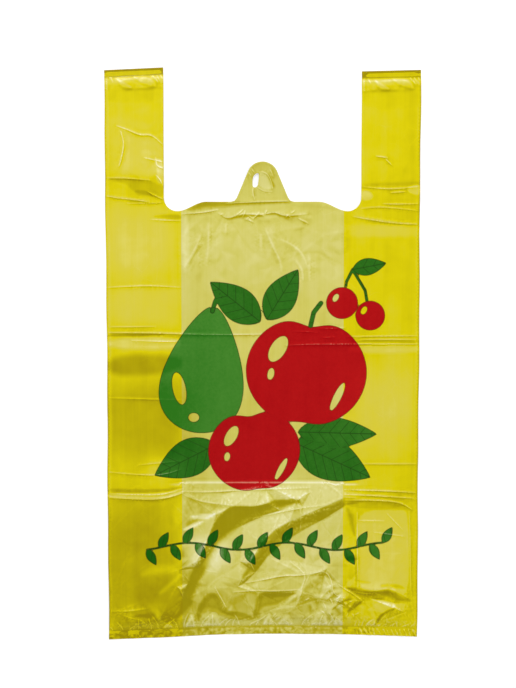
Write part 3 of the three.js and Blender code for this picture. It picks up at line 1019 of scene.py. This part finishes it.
def build_bag():
    verts, faces, values = [], [], {name: [] for name in ATTRIBUTES}
    first = 0
    for name, flat, height, layer_faces, tone in bag_layers():
        x, y = flat.T
        bare = np.full(x.shape, EMPTY)
        ink = painted(x, y) if name == "front" else dict.fromkeys(INK_NAMES, bare)
        sx, sy = settle(x, y)
        places = (sx, sy, np.maximum(height, LOWEST))
        verts += list(zip(*(place * MILLIMETRE for place in places)))
        faces += [tuple(first + i for i in face) for face in layer_faces]
        first += len(x)
        for key, value in ink.items():
            values[key].append(value)
        values["haze_and_painted_light"].append(np.clip(np.broadcast_to(tone, x.shape), 0.0, PALEST))
        values["side"].append(np.abs(x) - GUSSET_FOLD)
        across, along = ribs(x, y) if name == "front" else (bare, bare)
        values["vein"].append(across)
        values["along"].append(along)
    mesh = bpy.data.meshes.new("carrier_bag_film")
    mesh.from_pydata(verts, [], faces)
    for key, parts in values.items():
        attribute = mesh.attributes.new(key, "FLOAT", "POINT")
        attribute.data.foreach_set("value", np.concatenate(parts).astype(np.float32))
    mesh.shade_smooth()
    return add_object("carrier_bag_film", mesh)


# Materials

def linear(red, green, blue):
    """A colour given as it looks on a screen, from 0 to 255."""
    def channel(c):
        c /= 255
        return c / 12.92 if c <= 0.04045 else ((c + 0.055) / 1.055) ** 2.4
    return (channel(red), channel(green), channel(blue), 1.0)


class Nodes:
    """Short calls for building a material's node tree."""

    def __init__(self, name):
        self.material = bpy.data.materials.new(name)
        self.material.use_nodes = True
        self.tree = self.material.node_tree
        self.tree.nodes.clear()

    def add(self, kind, sockets=None, **settings):
        """A shader node with its settings, and with its sockets set to values or linked."""
        node = self.tree.nodes.new("ShaderNode" + kind)
        for key, value in settings.items():
            setattr(node, key, value)
        for key, value in (sockets or {}).items():
            if isinstance(value, bpy.types.NodeSocket):
                self.tree.links.new(value, node.inputs[key])
            else:
                node.inputs[key].default_value = value
        return node

    def math(self, operation, a, b=0.0, c=0.0, clamp=False):
        sockets = {0: a, 1: b, 2: c}
        return self.add("Math", sockets, operation=operation, use_clamp=clamp).outputs[0]

    def scaled(self, value, factor, offset, clamp=False):
        return self.math("MULTIPLY_ADD", value, factor, offset, clamp)

    def value(self, name):
        return self.add("Attribute", attribute_name=name).outputs["Fac"]

    def mix(self, factor, a, b):
        return self.add("Mix", {0: factor, 6: a, 7: b}, data_type="RGBA").outputs[2]

    def ramp(self, factor, stops):
        node = self.add("ValToRGB", {0: factor})
        elements = node.color_ramp.elements
        while len(elements) < len(stops):
            elements.new(0.5)
        for element, (place, colour) in zip(elements, stops):
            element.position = place
            element.color = linear(*colour)
        return node.outputs[0]

    def noise(self, vector, scale, detail):
        sockets = {"Vector": vector, "Scale": scale, "Detail": detail}
        return self.add("TexNoise", sockets).outputs["Fac"]

    def stretched(self, vector, scale):
        return self.add("Mapping", {"Vector": vector, "Scale": scale}).outputs["Vector"]

    def web(self, vector):
        """Net of fine creases, in patches: 1 on the lines and 0 off them."""
        warp = self.add("TexNoise", {"Vector": vector, "Scale": 45}).outputs["Color"]
        sockets = {0: warp, 1: (0.012, 0.012, 0.0), 2: vector}
        shift = self.add("VectorMath", sockets, operation="MULTIPLY_ADD").outputs["Vector"]
        sockets = {"Vector": shift, "Scale": 75}
        cells = self.add("TexVoronoi", feature="DISTANCE_TO_EDGE", voronoi_dimensions="2D",
                         sockets=sockets)
        line = self.scaled(cells.outputs["Distance"], -22, 1.0, clamp=True)
        patches = self.scaled(self.noise(vector, 22, 2), 5.0, -2.5, clamp=True)
        return self.math("MULTIPLY", line, patches)

    def inside(self, distance, edge=0.35):
        """1 inside an inked area and 0 outside, with a soft edge."""
        return self.scaled(distance, -1 / edge, 0.5, clamp=True)

    def near(self, distance, width):
        """1 on the line where a distance is nil and 0 away from it."""
        return self.math("LESS_THAN", self.math("ABSOLUTE", distance), width)

    def varied(self, tone, texture, amount):
        """A tone that a texture makes paler or deeper by up to half the amount."""
        return self.scaled(texture, amount, self.math("SUBTRACT", tone, amount / 2))

    def finished(self, shader):
        self.add("OutputMaterial", {"Surface": shader.outputs[0]})
        return self.material


# Film from deep to pale: place on the scale of tones, and colour; the top stop is the near-white of painted
# glints and sheen
TONE_SCALE = 0.8
SIDES = [(0.0, (160, 142, 0)), (0.4, (222, 207, 0)), (0.6, (221, 207, 70)), (0.8, (231, 221, 122)),
         (1.0, (248, 244, 200))]
MIDDLE = [(0.0, (164, 150, 4)), (0.2, (190, 176, 34)), (0.4, (212, 204, 98)), (0.8, (234, 229, 165)),
          (1.0, (250, 248, 226))]

# How far each texture shifts the tone
MOTTLE_SHIFT = 0.16
STREAK_SHIFT = 0.08
WEB_SHIFT = 0.06
BAND_SHIFT = 0.16

# Inks in the order that they cover each other: deep and pale colour
INKS = {
    "green": ((44, 118, 22), (88, 148, 56)),
    "leaf": ((22, 94, 6), (62, 126, 36)),
    "red": ((166, 0, 8), (196, 22, 22)),
}
# Near-white of the painted sheen of glints over the inks where the film's tone is pale
INK_SHEEN = linear(240, 226, 190)
DARK_GREEN = linear(30, 56, 12)
DARK_RED = linear(112, 6, 8)
LINE_STRENGTH = 0.75


def film_colour(n, tone):
    """Bare film, with two layers in the middle and four at the sides."""
    step = n.math("MULTIPLY", tone, TONE_SCALE, clamp=True)
    at_side = n.math("GREATER_THAN", n.value("side"), 0.0)
    return n.mix(at_side, n.ramp(step, MIDDLE), n.ramp(step, SIDES))


def leaf_ribs(n):
    """1 on the midribs and side ribs of the large leaves and 0 off them."""
    across = n.math("ABSOLUTE", n.value("vein"))
    branches = n.scaled(across, -0.8, n.value("along"))
    branches = n.math("SUBTRACT", n.math("PINGPONG", branches, 5.0), 0.35)
    rib = n.math("MINIMUM", n.math("SUBTRACT", across, 0.4), branches)
    return n.math("MULTIPLY", n.math("LESS_THAN", rib, 0.0), n.inside(n.value("leaf")))


def printed(n, place, tone, colour):
    """The film's colour under the inks, which turn paler with the film's tone and take a painted sheen of
    glints where it is palest, and under their dark outlines.
    """
    wash = n.scaled(n.noise(place, 420, 3), 0.25, n.math("MULTIPLY", tone, 0.75))
    inked = 0.0
    for name, (deep, pale) in INKS.items():
        area = n.inside(n.value(name))
        colour = n.mix(area, colour, n.ramp(wash, [(0.3, deep), (0.8, pale)]))
        inked = n.math("MAXIMUM", inked, area)
    painted_sheen = n.math("MULTIPLY", n.scaled(tone, 0.9, -0.72, clamp=True), inked)
    colour = n.mix(painted_sheen, colour, INK_SHEEN)
    lines = [(n.near(n.value("green"), 0.4), DARK_GREEN), (n.near(n.value("leaf"), 0.4), DARK_GREEN),
             (leaf_ribs(n), DARK_GREEN), (n.near(n.value("red"), 0.35), DARK_RED)]
    for line, dark in lines:
        colour = n.mix(n.math("MULTIPLY", line, LINE_STRENGTH), colour, dark)
    return colour


def film_material():
    n = Nodes("yellow_film")
    place = n.add("TexCoord").outputs["Object"]
    mottle = n.noise(place, 70, 5)
    streaks = n.noise(n.stretched(place, (700, 9, 1)), 1, 3)
    bands = n.noise(n.stretched(place, (110, 7, 1)), 1, 2)
    web = n.web(place)
    tone = n.varied(n.varied(n.value("haze_and_painted_light"), mottle, MOTTLE_SHIFT), streaks, STREAK_SHIFT)
    # the web's fine crease lines are painted a little paler, as fine glints, and also raise the bump below
    tone = n.varied(n.scaled(web, WEB_SHIFT, tone), bands, BAND_SHIFT)

    height = n.scaled(n.noise(place, 260, 4), 0.5, n.math("MULTIPLY", streaks, 0.3))
    height = n.scaled(web, 0.6, height)
    bump = n.add("Bump", {"Strength": 0.16, "Distance": 0.0004, "Height": height})
    return n.finished(n.add("BsdfPrincipled", {
        "Base Color": printed(n, place, tone, film_colour(n, tone)),
        "Roughness": n.scaled(mottle, 0.12, 0.16),
        "Normal": bump.outputs["Normal"],
        "IOR": 1.5,
    }))


def floor_material():
    """Pale floor that looks white and keeps the shadow."""
    n = Nodes("pale_floor")
    rays = n.add("LightPath").outputs
    seen = n.math("ADD", rays["Is Camera Ray"], rays["Is Glossy Ray"])
    seen = n.math("ADD", seen, rays["Is Transmission Ray"], clamp=True)
    glow = n.add("Emission", {"Color": (1, 1, 1, 1), "Strength": n.math("MULTIPLY", seen, 0.5)})
    white = n.add("BsdfDiffuse", {"Color": (0.62, 0.62, 0.62, 1)})
    return n.finished(n.add("AddShader", {0: glow.outputs[0], 1: white.outputs[0]}))


# Studio, in metres

BACKDROP_RADIUS = 6.0
BACKDROP_HEIGHT = 5.0
BACKDROP_SIDES = 64
WORLD_STRENGTH = 0.08

# Lamps: name, place, size, power and whether the film mirrors it
LAMPS = [
    ("key", (-1.2, 3.4, 2.6), 3.2, 156, False),
    ("fill", (2.9, 1.1, 2.9), 2.2, 70, False),
    ("low", (0.3, -3.1, 2.9), 2.2, 20, False),
    ("spark", (-0.9, 1.6, 2.6), 0.5, 18, True),
]

CAMERA_TILT = math.radians(4.0)
CAMERA_DISTANCE = 1.5
CAMERA_TARGET = Vector((-0.0043, 0.0127, 0.0))
CAMERA_LENS = 81.9
CAMERA_SENSOR = 36


def add_backdrop():
    """Round floor with an upright wall far behind."""
    count = BACKDROP_SIDES
    turns = np.linspace(0, 2 * np.pi, count, endpoint=False)
    low = [(BACKDROP_RADIUS * math.cos(a), BACKDROP_RADIUS * math.sin(a), 0.0) for a in turns]
    high = [(x, y, BACKDROP_HEIGHT) for x, y, _ in low]
    wall = [(i, (i + 1) % count, count + (i + 1) % count, count + i) for i in range(count)]
    mesh = bpy.data.meshes.new("backdrop")
    mesh.from_pydata(low + high, [], [tuple(range(count))] + wall)
    mesh.materials.append(floor_material())
    add_object("backdrop", mesh)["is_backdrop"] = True


def add_light():
    world = bpy.data.worlds.new("studio")
    bpy.context.scene.world = world
    world.use_nodes = True
    back = world.node_tree.nodes["Background"]
    back.inputs["Color"].default_value = (1, 1, 1, 1)
    back.inputs["Strength"].default_value = WORLD_STRENGTH
    for name, place, size, power, mirrored in LAMPS:
        lamp = bpy.data.lights.new(name, "AREA")
        lamp.shape = "SQUARE"
        lamp.size = size
        lamp.energy = power
        holder = add_object(name, lamp)
        holder.location = place
        holder.visible_glossy = mirrored
        holder.rotation_euler = (-Vector(place)).to_track_quat("-Z", "Y").to_euler()


def add_camera():
    forward = Vector((0, -math.sin(CAMERA_TILT), -math.cos(CAMERA_TILT)))
    up = Vector((0, math.cos(CAMERA_TILT), -math.sin(CAMERA_TILT)))
    camera = add_object("camera", bpy.data.cameras.new("camera"))
    camera.data.lens = CAMERA_LENS
    camera.data.sensor_width = CAMERA_SENSOR
    axes = Matrix((forward.cross(up), up, -forward)).transposed()
    camera.matrix_world = Matrix.Translation(CAMERA_TARGET - CAMERA_DISTANCE * forward) @ axes.to_4x4()
    bpy.context.scene.camera = camera


bag = build_bag()
bag.data.materials.append(film_material())
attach(bag, "root")
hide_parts("carrier_bag")
add_backdrop()
add_light()
add_camera()
bpy.context.scene.view_settings.view_transform = "Standard"

boxes = {"cad": cad_box, "visual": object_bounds()}
{name: [list(corner) for corner in box] for name, box in boxes.items()}
